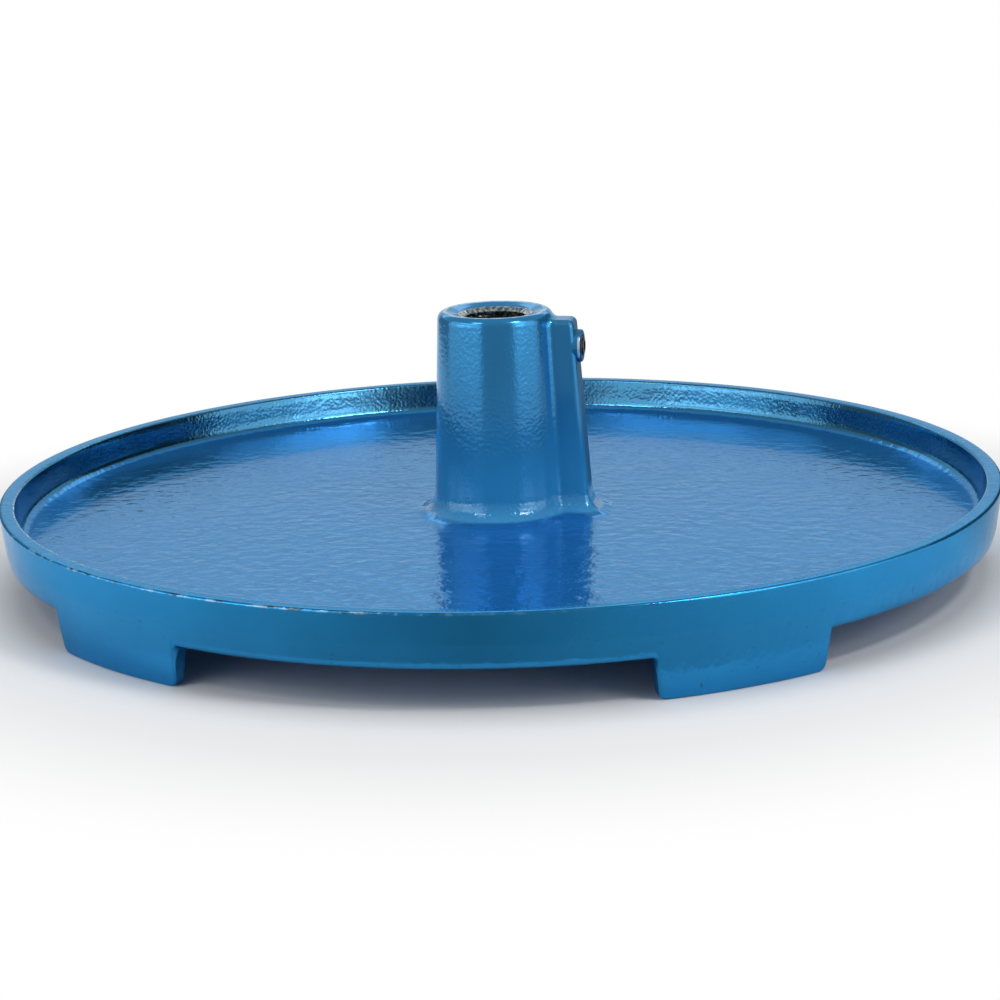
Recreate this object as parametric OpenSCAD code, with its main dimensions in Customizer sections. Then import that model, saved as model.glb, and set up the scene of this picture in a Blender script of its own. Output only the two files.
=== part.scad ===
// Stand for a flexible shaft motor: a round tool tray cast in one piece with five feet and an
// upright socket. A set screw in the socket's rib clamps the motor's post through a brass pad.
// Millimetres. The feet stand on z = 0, the socket's axis is Z, and the rib points along +X.

/* [Tray] */
// Outer diameter of the rim at its top edge
tray_d = 400; // [320:5:480]
// Height of the rim's top edge above the ground
rim_z = 36.5; // [32:0.5:60]
// Width of the rim's flat top edge
rim_w = 6.3; // [4.5:0.1:9]
// Depth of the tray below the rim's top edge
tray_depth = 13.4; // [9:0.1:18]
// Thickness of the tray's floor
floor_t = 7.8; // [6:0.1:10]
// Draft angle of the rim's walls
wall_draft = 7; // [3:0.5:9]
// Fillet between the floor and the rim's inner wall
rim_fillet = 4; // [2:0.5:7]
// Rounding of the rim's top edges
rim_round = 1; // [0.4:0.1:1.6]

/* [Feet] */
// Number of feet around the tray
foot_count = 5; // [3:1:7]
// Width of each foot where it stands
foot_w = 66.5; // [40:0.5:90]
// Thickness of each foot where it stands
foot_t = 5; // [4:0.5:12]
// Draft angle of the feet's ends
foot_draft = 4.5; // [1:0.5:8]
// Rounding of the feet's lower corners
foot_round = 3; // [1:0.5:5]

/* [Underside] */
// Diameter of the pad under the socket
hub_pad_d = 66; // [60:1:80]
// Drop of the pad below the floor's underside
hub_pad_drop = 6; // [3:0.5:9]
// Thickness of the stiffening webs under the floor
web_t = 6; // [4:0.5:10]
// Drop of the webs below the floor's underside
web_drop = 4; // [2:0.5:6]

/* [Socket] */
// Height of the socket's top above the ground
socket_z = 104.5; // [90:0.5:140]
// Outer diameter of the socket at its top
socket_top_d = 46; // [42:0.2:50]
// Outer diameter of the socket at the tray's floor
socket_base_d = 53; // [51:0.5:58]
// Rounding of the socket's top edge
socket_round = 3; // [1.5:0.5:3.5]
// Fillet between the socket and the tray's floor
socket_fillet = 8.5; // [5:0.5:9]
// Depth of the dished top from its crest to the bush
dish_depth = 1.4; // [0.6:0.1:2]
// Diameter of the clear hole below the bush
through_d = 22; // [16:0.5:23]

/* [Bush] */
// Bore of the bush, which takes the motor's post
bush_id = 25; // [24:0.1:25.6]
// Outer diameter of the bush
bush_od = 30; // [29:0.1:33]
// Length of the bush
bush_len = 60; // [45:1:70]
// Chamfer at the top of the bore, which leads the post in
lead_in = 1.5; // [0.5:0.1:1.6]

/* [Rib] */
// Thickness of the rib at its top
rib_w = 13; // [11:0.5:16]
// Distance that the rib stands out of the socket at its top
rib_top_out = 9; // [8:0.2:13]
// Distance that the rib stands out of the socket at the floor
rib_base_out = 11; // [10.5:0.5:20]
// Drop of the rib's top below the socket's top
rib_drop = 3.3; // [2:0.1:8]
// Rounding of the rib's edges
rib_round = 2.5; // [1.5:0.5:4]
// Fillet where the rib's sides meet the socket
rib_fillet = 3; // [2:0.5:6]
// Side draft of the rib, as an angle
rib_draft = 0.7; // [0:0.1:1.5]

/* [Clamp screw] */
// Thread diameter of the set screw
screw_d = 8; // [6:1:10]
// Pitch of the screw's thread
screw_pitch = 1.25; // [1:0.05:1.5]
// Length of the screw
screw_len = 16; // [12:0.5:18]
// Depth of the hexagon socket
hex_depth = 5; // [3:0.5:7]
// Distance that the screw stands out of its boss
screw_proud = 0.6; // [0.2:0.1:2]
// Drop of the screw's axis below the socket's top
screw_drop = 14.5; // [13:0.5:30]
// Diameter of the boss around the screw
boss_d = 13; // [12.5:0.5:16]
// Distance that the boss stands out of the rib at the screw's axis
boss_proud = 2.2; // [1:0.1:4]
// Amount by which the brass pad at the screw's tip is thinner than the thread
pad_undersize = 1.8; // [1.4:0.1:3]

/* [Hidden] */

// Clearances
press_gap = 0.02;      // bush in its seat
thread_gap = 0.05;     // set screw in its tapped hole
pad_gap = 0.2;         // pad in the bush's side hole
face_gap = 0.05;       // screw's tip to the pad
bore_gap = 0.3;        // pad's tip behind the wall of the bore
blend_sink = 0.05;     // rib's fillets into the socket's wall

// Heights
floor_z = rim_z - tray_depth;
under_z = floor_z - floor_t;
hub_pad_z = under_z - hub_pad_drop;
web_z = under_z - web_drop;
lip_z = socket_z - dish_depth;
seat_z = lip_z - bush_len;
screw_z = socket_z - screw_drop;
rib_z = socket_z - rib_drop;

// Radii
tray_r = tray_d / 2;
seat_r = bush_od / 2 + press_gap;
crest_r = socket_top_d / 2 - socket_round;

// Roundings that are too small to be set
edge_round = 0.8;      // lower edges of the feet and the hub pad
wall_round = 2.5;      // lower outer edge of the wall
root_round = 1.5;      // where a foot's ends meet the wall
web_fillet = 3;        // feet and hub pad to the floor's underside
embed = 3;             // overlap of pieces of the casting
margin = 1;            // reach of cuts and hidden corners past a face
pad_slope = 2;         // draft of the hub pad's side

// Screw and pad along the X axis
boss_x = rib_x(screw_z) + boss_proud;
screw_end_x = boss_x + screw_proud;
screw_tip_x = screw_end_x - screw_len;
pad_outer_x = screw_tip_x - face_gap;
pad_tip_x = bush_id / 2 + bore_gap;
pad_d = screw_d - pad_undersize;
pad_hole_r = pad_d / 2 + pad_gap;
tap_r = screw_d / 2 + thread_gap;
thread_r = screw_d / 2 - thread_gap;
thread_depth = 0.54 * screw_pitch;
thread_flank = 2.6;    // steepness of the thread's flanks, in depths a pitch
thread_crest = 0.15;   // share of the depth that the crest takes
screw_chamfer = 0.8;
hex_af = screw_d / 2;

iron_blue = [0.11, 0.42, 0.68];
steel = [0.78, 0.77, 0.75];
black_steel = [0.09, 0.09, 0.10];
brass = [0.80, 0.62, 0.30];

function wall_r(z) = tray_r - (rim_z - z) * tan(wall_draft);
function inner_wall_r(z) = tray_r - rim_w - (rim_z - z) * tan(wall_draft);
function socket_r(z) = socket_top_d / 2
    + (socket_base_d - socket_top_d) / 2 * (socket_z - z) / (socket_z - floor_z);
function rib_out(z) = rib_top_out + (rib_base_out - rib_top_out) * (rib_z - z) / (rib_z - floor_z);
function rib_x(z) = socket_r(z) + rib_out(z);

function unit(v) = v / norm(v);
function on_circle(c, r, a) = [c[0] + r * cos(a), c[1] + r * sin(a)];

// The corner at p between a and b, as points along an arc of radius r
function corner(a, p, b, r) = r == 0 ? [p] :
    let (
        u = unit(a - p),
        v = unit(b - p),
        half = acos(u * v) / 2,
        c = p + unit(u + v) * r / sin(half),
        start = p + u * r / tan(half) - c,
        from = atan2(start[1], start[0]),
        sweep = (180 - 2 * half) * (cross(u, v) > 0 ? -1 : 1),
        steps = max(3, ceil(sqrt(r) * abs(sweep) / 30))
    )
    [for (i = [0:steps]) on_circle(c, r, from + sweep * i / steps)];

// An outline from points [x, y, corner radius]
function rounded(points) = let (n = len(points)) [
    for (i = [0:n - 1])
        let (a = points[(i + n - 1) % n], p = points[i], b = points[(i + 1) % n])
        each corner([a[0], a[1]], [p[0], p[1]], [b[0], b[1]], p[2])
];

// The tray's floor and rim with the socket, turned about Z
module tray_and_socket() {
    rotate_extrude($fn = 180)
        polygon(rounded([
            [through_d / 2, hub_pad_z, 0],
            [hub_pad_d / 2, hub_pad_z, edge_round],
            [hub_pad_d / 2 + pad_slope, under_z, web_fillet],
            [wall_r(under_z), under_z, wall_round],
            [tray_r, rim_z, rim_round],
            [tray_r - rim_w, rim_z, rim_round],
            [inner_wall_r(floor_z), floor_z, rim_fillet],
            [socket_r(floor_z), floor_z, socket_fillet],
            [socket_r(socket_z), socket_z, socket_round],
            [crest_r, socket_z, 0],
            [seat_r, lip_z, 0],
            [seat_r, seat_z, 0],
            [through_d / 2, seat_z, 0]
        ]));
}

// One foot, cut from a ring that carries the rim's wall down to the ground
module foot() {
    inner_r = wall_r(0) - foot_t;
    root_w = foot_w / 2 + under_z * tan(foot_draft);
    flare_w = root_w + root_round + web_fillet;
    top_z = under_z + embed;
    intersection() {
        rotate_extrude($fn = 180)
            polygon(rounded([
                [inner_r, 0, edge_round],
                [wall_r(0), 0, edge_round],
                [wall_r(top_z), top_z, 0],
                [inner_r - web_fillet - margin, top_z, 0],
                [inner_r - web_fillet - margin, under_z, 0],
                [inner_r, under_z, web_fillet]
            ]));
        rotate([90, 0, 0])
            linear_extrude(tray_r)
                polygon(rounded([
                    [-foot_w / 2, 0, foot_round],
                    [foot_w / 2, 0, foot_round],
                    [root_w, under_z, root_round],
                    [flare_w, under_z, 0],
                    [flare_w, top_z, 0],
                    [-flare_w, top_z, 0],
                    [-flare_w, under_z, 0],
                    [-root_w, under_z, root_round]
                ]));
    }
}

// One stiffening web under the floor, from the hub pad to a foot
module under_web() {
    root_w = web_t / 2 + web_drop * tan(foot_draft);
    rotate([90, 0, 0])
        translate([0, 0, hub_pad_d / 2 - embed])
            linear_extrude(wall_r(0) - foot_t + embed / 2 - hub_pad_d / 2 + embed)
                polygon([
                    [-web_t / 2, web_z],
                    [web_t / 2, web_z],
                    [root_w, under_z],
                    [root_w, under_z + embed],
                    [-root_w, under_z + embed],
                    [-root_w, under_z]
                ]);
}

// Growth of the rib's section where it meets the floor, and its loss at the rounded top
function root_growth(z) = let (up = max(0, z - floor_z))
    up >= socket_fillet ? 0 : socket_fillet - sqrt(pow(socket_fillet, 2) - pow(socket_fillet - up, 2));
function top_loss(z) = let (up = max(0, z - rib_z + rib_round))
    rib_round - sqrt(max(0, pow(rib_round, 2) - up * up));

// Half of the rib's section at a height, from its outer end to the socket: a rounded end, a
// straight side and a fillet that runs into the socket's wall
function half_rib(z) = let (
        g = root_growth(z) - top_loss(z),
        w = rib_w / 2 + (rib_z - z) * tan(rib_draft) + g,
        x = rib_x(z) + g,
        r = min(w, rib_round + root_growth(z)),
        wall = socket_r(z) + root_growth(z) - blend_sink,
        f = min(rib_fillet, x - r - wall),
        c = [sqrt(pow(wall + f, 2) - pow(w + f, 2)), w + f],
        turn = atan2(c[1], c[0])
    )
    concat(
        [for (i = [0:4]) on_circle([x - r, w - r], r, i * 22.5)],
        [for (i = [0:5]) on_circle(c, f, -90 - (90 - turn) * i / 5)]
    );

// The whole section, with its near side mirrored and its root closed inside the socket's wall
function rib_section(z) = let (h = half_rib(z), n = len(h)) concat(
    [for (p = h) [p[0], p[1], z]],
    [[seat_r - margin, 0, z]],
    [for (i = [n - 1:-1:1]) [h[i][0], -h[i][1], z]],
    h[0][1] > 0 ? [[h[0][0], -h[0][1], z]] : []
);

// A solid through a stack of sections that have the same number of points
module loft(sections) {
    n = len(sections[0]);
    top = len(sections) - 1;
    polyhedron(
        points = [for (s = sections) each s],
        faces = concat(
            [[for (i = [0:n - 1]) i]],
            [[for (i = [n - 1:-1:0]) top * n + i]],
            [for (k = [0:top - 1], i = [0:n - 1]) let (j = (i + 1) % n)
                each [[k * n + i, k * n + n + i, k * n + n + j],
                      [k * n + i, k * n + n + j, k * n + j]]]
        )
    );
}

// The rib up the side of the socket, with the boss for the clamp screw
module rib_and_boss() {
    steps = 5;
    heights = concat(
        [floor_z - margin],
        [for (i = [0:steps]) floor_z + socket_fillet * (1 - cos(90 * i / steps))],
        [for (i = [0:steps]) rib_z - rib_round * (1 - sin(90 * i / steps))]
    );
    loft([for (z = heights) rib_section(z)]);
    translate([socket_r(screw_z) - embed, 0, screw_z])
        rotate([0, 90, 0])
            cylinder(d = boss_d, h = boss_x - socket_r(screw_z) + embed, $fn = 72);
}

module base_casting() {
    color(iron_blue)
        difference() {
            union() {
                tray_and_socket();
                rib_and_boss();
                for (i = [0:foot_count - 1])
                    rotate(180 + i * 360 / foot_count) {
                        foot();
                        under_web();
                    }
            }
            translate([0, 0, seat_z])
                cylinder(r = seat_r, h = bush_len + margin, $fn = 90);
            translate([0, 0, screw_z])
                rotate([0, 90, 0])
                    cylinder(r = tap_r, h = tray_r / 2, $fn = 48);
        }
}

// Steel lining of the socket, with a side hole for the pad
module socket_bush() {
    chamfer = 0.5;
    color(steel)
        difference() {
            translate([0, 0, seat_z])
                rotate_extrude($fn = 90)
                    polygon([
                        [bush_id / 2, 0],
                        [bush_od / 2 - chamfer, 0],
                        [bush_od / 2, chamfer],
                        [bush_od / 2, bush_len],
                        [bush_id / 2 + lead_in, bush_len],
                        [bush_id / 2, bush_len - lead_in]
                    ]);
            translate([0, 0, screw_z])
                rotate([0, 90, 0])
                    cylinder(r = pad_hole_r, h = bush_od, $fn = 48);
        }
}

// Radius of the screw's surface at a height along it and an angle: a vee thread that climbs one
// pitch a turn, held inside the chamfers at both ends
function thread_surface(z, a) = let (
        share = (z / screw_pitch - a / 360) - floor(z / screw_pitch - a / 360),
        flank = abs(share - 0.5) * thread_flank - thread_crest,
        depth = thread_depth * max(0, min(1, flank)),
        ends = min(z, screw_len - z)
    )
    min(thread_r - depth, thread_r - screw_chamfer + ends);

// Hexagon socket set screw along the X axis, with its socket outwards
module clamp_screw() {
    turn_steps = 24;
    rows_a_turn = 7;
    rows = ceil(screw_len / screw_pitch * rows_a_turn);
    color(black_steel)
        translate([screw_tip_x, 0, screw_z])
            rotate([0, 90, 0])
                difference() {
                    loft([
                        for (k = [0:rows])
                            let (z = screw_len * k / rows)
                            [for (i = [0:turn_steps - 1])
                                let (a = 360 * i / turn_steps, r = thread_surface(z, a))
                                [r * cos(a), r * sin(a), z]]
                    ]);
                    translate([0, 0, screw_len - hex_depth])
                        cylinder(d = hex_af / cos(30), h = hex_depth + margin, $fn = 6);
                }
}

// Brass pad between the screw's tip and the motor's post
module thrust_pad() {
    chamfer = 0.4;
    length = pad_outer_x - pad_tip_x;
    color(brass)
        translate([pad_tip_x, 0, screw_z])
            rotate([0, 90, 0])
                rotate_extrude($fn = 60)
                    polygon([
                        [0, 0],
                        [pad_d / 2 - chamfer, 0],
                        [pad_d / 2, chamfer],
                        [pad_d / 2, length - chamfer],
                        [pad_d / 2 - chamfer, length],
                        [0, length]
                    ]);
}

base_casting();
socket_bush();
clamp_screw();
thrust_pad();
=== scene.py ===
import math

import bmesh
import bpy
import numpy as np
from mathutils import Matrix, Vector


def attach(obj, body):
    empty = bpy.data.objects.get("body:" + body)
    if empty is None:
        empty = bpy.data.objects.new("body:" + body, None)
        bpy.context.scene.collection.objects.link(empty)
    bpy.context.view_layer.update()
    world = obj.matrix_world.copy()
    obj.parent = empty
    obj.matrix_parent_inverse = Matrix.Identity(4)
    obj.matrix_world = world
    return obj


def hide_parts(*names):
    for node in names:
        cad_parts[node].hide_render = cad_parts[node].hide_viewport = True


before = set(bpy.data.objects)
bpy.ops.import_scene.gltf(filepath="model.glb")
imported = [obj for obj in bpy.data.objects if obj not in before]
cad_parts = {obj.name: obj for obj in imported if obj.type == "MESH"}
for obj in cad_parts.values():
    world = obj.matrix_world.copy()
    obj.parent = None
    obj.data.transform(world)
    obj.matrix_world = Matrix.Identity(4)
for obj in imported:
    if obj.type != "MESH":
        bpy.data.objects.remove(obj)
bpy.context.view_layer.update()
mm = 0.001


# View and light: directions are turns about Z from the line between the stand and the camera,
# in degrees and plus to the right.

view = {
    "turn": 10.543,           # degrees from -Y towards +X
    "rise": 13.295,           # degrees above the rim's plane
    "distance": 1.1476,       # metres from the middle of the rim's plane
    "rimTop": 0.0365,
    "focal": 102.315,         # mm on a 36 mm sensor
    "panTiltRoll": (-0.0122, -0.4948, -1.7052),
}


def viewSpot(turn, distance, height):
    angle = math.radians(view["turn"] + turn)
    return Vector((math.sin(angle) * distance, -math.cos(angle) * distance, height))


def makeCamera(v):
    rise = math.radians(v["rise"])
    pan, tilt, roll = (math.radians(a) for a in v["panTiltRoll"])
    spot = Vector((0, -math.cos(rise), math.sin(rise))) * v["distance"]
    ahead = -spot.normalized()
    right = Vector((1, 0, 0))
    up = right.cross(ahead)
    ahead = (ahead + math.tan(pan) * right + math.tan(tilt) * up).normalized()
    right = ahead.cross(Vector((0, 0, 1))).normalized()
    up = right.cross(ahead)
    tiltedRight = math.cos(roll) * right + math.sin(roll) * up
    tiltedUp = math.cos(roll) * up - math.sin(roll) * right
    turn = Matrix((tiltedRight, tiltedUp, -ahead)).transposed().to_4x4()
    place = Matrix.Translation(spot + Vector((0, 0, v["rimTop"]))) @ turn
    data = bpy.data.cameras.new("camera")
    data.sensor_width = 36
    data.lens = v["focal"]
    camera = bpy.data.objects.new("camera", data)
    camera.matrix_world = Matrix.Rotation(math.radians(v["turn"]), 4, "Z") @ place
    bpy.context.scene.collection.objects.link(camera)
    bpy.context.scene.camera = camera


makeCamera(view)
bpy.context.scene.view_settings.view_transform = "Standard"
print("camera placed")


# A small helper that adds nodes to a material, or to the world, and links them.
class Shader:
    def __init__(self, owner):
        self.owner = owner
        owner.use_nodes = True
        self.nodes = owner.node_tree.nodes
        self.links = owner.node_tree.links
        coordinates = self.add("TexCoord")
        self.place = coordinates.outputs["Object"]
        self.direction = coordinates.outputs["Generated"]

    def add(self, kind, **values):
        node = self.nodes.new("ShaderNode" + kind)
        for key, value in values.items():
            setattr(node, key, value)
        return node

    def put(self, socket, value):
        if hasattr(value, "is_output"):
            self.links.new(value, socket)
        else:
            socket.default_value = value

    def math(self, operation, a, b=0.0):
        node = self.add("Math", operation=operation)
        for socket, value in zip(node.inputs, (a, b)):
            self.put(socket, value)
        return node.outputs[0]

    def times(self, value, *others):
        for other in others:
            value = self.math("MULTIPLY", value, other)
        return value

    def most(self, value, *others):
        for other in others:
            value = self.math("MAXIMUM", value, other)
        return value

    def away(self, a, b):
        return self.math("ABSOLUTE", self.math("SUBTRACT", a, b))

    def noise(self, size, detail=2.0, rough=0.5, stretch=None, vector=None):
        node = self.add("TexNoise")
        node.inputs["Detail"].default_value = detail
        node.inputs["Roughness"].default_value = rough
        node.inputs["Scale"].default_value = 1 / (size * mm)
        source = vector or self.place
        if stretch:
            mapping = self.add("Mapping")
            mapping.inputs["Scale"].default_value = stretch
            self.put(mapping.inputs["Vector"], source)
            source = mapping.outputs[0]
        self.put(node.inputs["Vector"], source)
        return node.outputs["Fac"]

    def step(self, value, low, high, start=0.0, end=1.0):
        node = self.add("MapRange", interpolation_type="SMOOTHSTEP")
        settings = {"Value": value, "From Min": low, "From Max": high, "To Min": start, "To Max": end}
        for key, setting in settings.items():
            self.put(node.inputs[key], setting)
        return node.outputs["Result"]

    def mix(self, amount, a, b):
        node = self.add("Mix", data_type="RGBA")
        self.put(node.inputs[0], amount)
        self.put(node.inputs[6], a + (1,) if isinstance(a, tuple) else a)
        self.put(node.inputs[7], b + (1,) if isinstance(b, tuple) else b)
        return node.outputs[2]

    def bump(self, height, depth, below=None):
        node = self.add("Bump")
        node.inputs["Strength"].default_value = 1.0
        self.put(node.inputs["Distance"], self.times(depth, mm))
        self.put(node.inputs["Height"], height)
        if below is not None:
            self.put(node.inputs["Normal"], below)
        return node.outputs["Normal"]

    # 1 where the camera looks straight at a surface, or by way of gloss or glass
    def seenDirectly(self):
        rays = self.add("LightPath").outputs
        return self.most(rays["Is Camera Ray"], rays["Is Glossy Ray"], rays["Is Transmission Ray"])

    # Sets the inputs of the material's surface and returns the material.
    def finish(self, **inputs):
        surface = self.nodes["Principled BSDF"]
        for key, value in inputs.items():
            isColour = isinstance(value, tuple)
            self.put(surface.inputs[key.replace("_", " ")], value + (1,) if isColour else value)
        return self.owner


def newShader(name):
    return Shader(bpy.data.materials.new(name))


def grey(value):
    return (value, value, value)


studio = {
    # name: (first turn, last turn, distance, bottom, top, brightness), with white as 1
    "softboxes": {
        "leftFar": (-100, -50, 0.95, 0.03, 0.75, 0.85),
        "leftNear": (-50, -24, 0.95, 0.03, 0.75, 0.85),
        "leftHigh": (-56, -34, 0.8, 0.8, 1.1, 7.0),
        "rightNear": (32, 56, 0.95, 0.03, 0.75, 0.95),
        "rightFar": (56, 84, 0.95, 0.03, 0.75, 0.9),
        "rightHigh": (40, 60, 0.8, 0.80, 1.1, 18.0),
        "leftStrip": (-78, -48, 0.95, 0.11, 0.22, 2.0),
        "rightStrip": (40, 58, 0.95, 0.11, 0.22, 3.0),
        "leftTop": (-76, -36, 0.93, 0.42, 0.75, 1.2),
        "rightTop": (38, 66, 0.93, 0.42, 0.75, 2.0),
        "back": (140, 220, 1.1, 0.55, 0.85, 1.0),
    },
    "overhead": (1.3, 1.0, 2.6),        # height, width, brightness
    # name: (first turn, last turn, near, far, bottom, top, brightness, share that fades at each end)
    "cards": {
        "front": (-31, 37, 0.52, 0.52, 0.0, 0.6, 0.38, 0.07),
        "frontFloor": (-58, 50, 0.212, 0.52, 0.001, 0.001, 0.27, 0.5),
        "right": (88, 150, 0.64, 0.64, 0.0, 0.4, 0.05, 0.1),
        "rightFloor": (76, 172, 0.203, 0.64, 0.001, 0.001, 0.55, 0.12),
        "left": (-150, -100, 0.62, 0.62, 0.0, 0.3, 0.25, 0.1),
        "leftFloor": (-112, -50, 0.3, 0.64, 0.001, 0.001, 0.85, 0.1),
    },
    "fill": 0.12,             # what lights the stand from all round
    # what the gloss mirrors of the room: height from the horizon to straight up, and grey
    "sky": ((0, 1.0), (0.1, 0.85), (0.17, 0.75), (0.3, 0.6), (0.5, 0.42), (1, 0.38)),
    "floorGrey": 0.82,
    "floorBounce": 0.4,       # the grey with which the floor lights the stand
    "floorRadius": 12,
    "whiteFrom": 0.21,        # metres from the stand's middle at which the floor turns to plain white
    "whiteTo": 0.34,
}


def addLamp(name, width, tall, brightness, spot, turn):
    data = bpy.data.lights.new(name, "AREA")
    data.shape = "RECTANGLE"
    data.size = width
    data.size_y = tall
    data.energy = brightness * math.pi * width * tall
    lamp = bpy.data.objects.new(name, data)
    lamp.location = spot
    lamp.rotation_euler = turn
    lamp.visible_camera = False
    bpy.context.scene.collection.objects.link(lamp)
    return lamp


# A softbox that stands upright between two directions.
def addSoftbox(name, start, end, distance, bottom, top, brightness):
    width = 2 * distance * math.tan(math.radians(end - start) / 2)
    spot = viewSpot((start + end) / 2, distance, (bottom + top) / 2)
    turn = Vector((-spot.x, -spot.y, 0)).to_track_quat("-Z", "Y").to_euler()
    addLamp(name, width, top - bottom, brightness, spot, turn)


def makeWorld(s):
    bpy.context.scene.world = bpy.data.worlds.new("studio")
    room = Shader(bpy.context.scene.world)
    split = room.add("SeparateXYZ")
    room.put(split.inputs[0], room.direction)
    sky = room.add("ValToRGB")
    room.put(sky.inputs["Fac"], split.outputs["Z"])
    points = sky.color_ramp.elements
    for height, tone in s["sky"][1:-1]:
        points.new(height)
    for point, (height, tone) in zip(points, s["sky"]):
        point.color = grey(tone) + (1,)
    tone = room.mix(room.seenDirectly(), grey(s["fill"]), sky.outputs["Color"])
    room.put(room.nodes["Background"].inputs["Color"], tone)


def stageMesh(name, mesh):
    thing = bpy.data.objects.new(name, mesh)
    bpy.context.scene.collection.objects.link(thing)
    return thing


# A pale floor that turns to plain white away from the stand, and lights it with a darker grey.
def makeFloor(s):
    paper = newShader("paleFloor")
    seen = paper.seenDirectly()
    tone = paper.mix(seen, grey(s["floorBounce"]), grey(s["floorGrey"]))
    paper.finish(Base_Color=tone, Roughness=0.9, Specular_IOR_Level=0.1)
    away = paper.add("VectorMath", operation="LENGTH")
    paper.put(away.inputs[0], paper.place)
    whiteShare = paper.times(paper.step(away.outputs["Value"], s["whiteFrom"], s["whiteTo"]), seen)
    mixed = paper.add("MixShader")
    paper.put(mixed.inputs[0], whiteShare)
    paper.put(mixed.inputs[1], paper.nodes["Principled BSDF"].outputs[0])
    paper.put(mixed.inputs[2], paper.add("Emission").outputs[0])
    paper.put(paper.nodes["Material Output"].inputs["Surface"], mixed.outputs[0])
    mesh = bpy.data.meshes.new("studio_floor")
    disc = bmesh.new()
    bmesh.ops.create_circle(disc, cap_ends=True, radius=s["floorRadius"], segments=64)
    disc.to_mesh(mesh)
    disc.free()
    mesh.materials.append(paper.owner)
    stageMesh("studio_floor", mesh)


# A plain card between two directions, soft at both ends, which only the gloss mirrors.
def addCard(name, start, end, near, far, bottom, top, brightness, fade):
    along = np.linspace(0, 1, 41)
    cover = list(np.clip(np.minimum(along, 1 - along) / fade, 0, 1))
    turns = start + (end - start) * along
    points = [viewSpot(a, near, bottom) for a in turns] + [viewSpot(a, far, top) for a in turns]
    faces = [(k, k + 1, k + 1 + len(cover), k + len(cover)) for k in range(len(cover) - 1)]
    mesh = bpy.data.meshes.new("card_" + name)
    mesh.from_pydata(points, [], faces)
    mesh.attributes.new("cover", "FLOAT", "POINT").data.foreach_set("value", cover + cover)
    plain = newShader("card_" + name)
    share = plain.add("Attribute", attribute_name="cover").outputs["Fac"]
    mesh.materials.append(plain.finish(
        Base_Color=grey(0), Emission_Color=grey(1), Emission_Strength=brightness,
        Roughness=1.0, Specular_IOR_Level=0.0, Alpha=share))
    card = stageMesh("card_" + name, mesh)
    card.visible_camera = card.visible_diffuse = card.visible_shadow = card.visible_transmission = False


for name, box in studio["softboxes"].items():
    addSoftbox(name, *box)
height, width, brightness = studio["overhead"]
addLamp("overhead", width, width, brightness, (0, 0, height), (0, 0, 0)).visible_glossy = False
makeWorld(studio)
makeFloor(studio)
for name, card in studio["cards"].items():
    addCard(name, *card)
print("studio lit")


# Sizes in mm and angles in degrees.
casting = {
    "trayRadius": 200.0, "rimTop": 36.5, "rimWidth": 6.3, "trayDepth": 13.4, "floorThick": 7.8,
    "wallDraft": 7.0, "rimFillet": 4.0, "rimRound": 1.0, "wallRound": 2.5,
    "feet": 5, "footWidth": 66.5, "footThick": 5.0, "footDraft": 4.5, "footRound": 3.0, "footRoot": 1.8,
    "soleRound": 0.8, "footFillet": 3.0, "webWidth": 6.0, "webDrop": 4.0,
    # the web's rounded edge: places in halves of its width, and how much of its drop each one has
    "webKnots": (0, 0.5, 0.85, 1.0, 1.05, 1.1, 1.2, 1.4),
    "webShares": (1, 1, 0.99, 0.9, 0.55, 0.25, 0.06, 0),
    "padRadius": 33.0, "padDrop": 6.0, "padSlope": 2.0, "padRound": 0.8,
    "socketTop": 104.5, "socketTopRadius": 23.0, "socketBaseRadius": 26.5, "socketRound": 3.0,
    "socketFillet": 8.5, "dish": 1.4, "seatRadius": 15.02, "seatDepth": 60.0,
    "throughRadius": 11.0, "throughEdge": 0.6,
    "ribWidth": 13.0, "ribTopOut": 9.0, "ribBaseOut": 11.0, "ribDrop": 3.3, "ribRound": 2.5,
    "ribFillet": 2.0, "ribDraft": 0.7,
    "screwDrop": 14.5, "bossRadius": 6.5, "bossProud": 2.2, "bossRound": 0.8,
    "tapRadius": 4.05, "tapEdge": 0.6,
    "seam": 120.0,            # radius at which the ring of feet meets the middle
    "columnsInSector": 88,
    "ribCrowding": 3,         # how much closer the columns stand at the rib
    "ribCrowdAngle": 25,      # and how far to its sides
    "joinWithin": 0.005,      # points nearer than this are one
    "seamWithin": 0.01,       # and along the seam between the ring of feet and the middle
    "crease": 38,             # an edge that bends by more stays sharp
}
c = casting
floorTop = c["rimTop"] - c["trayDepth"]
floorUnder = floorTop - c["floorThick"]
padBottom = floorUnder - c["padDrop"]
lipTop = c["socketTop"] - c["dish"]
seatBottom = lipTop - c["seatDepth"]
ribTop = c["socketTop"] - c["ribDrop"]
wallSlope = math.tan(math.radians(c["wallDraft"]))
footInside = c["trayRadius"] - c["rimTop"] * wallSlope - c["footThick"]
footMiddle = footInside + c["footThick"] / 2


def wallRadius(z):
    return c["trayRadius"] - (c["rimTop"] - z) * wallSlope


def innerWallRadius(z):
    return wallRadius(z) - c["rimWidth"]


def socketRadius(z):
    rise = (c["socketTop"] - z) / (c["socketTop"] - floorTop)
    return c["socketTopRadius"] + (c["socketBaseRadius"] - c["socketTopRadius"]) * rise


# How far the rib's end stands out from the socket at a height.
def ribOut(z):
    return c["ribTopOut"] + (c["ribBaseOut"] - c["ribTopOut"]) * (ribTop - z) / (ribTop - floorTop)


screwHeight = c["socketTop"] - c["screwDrop"]
bossEnd = socketRadius(screwHeight) + ribOut(screwHeight) + c["bossProud"]


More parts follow.
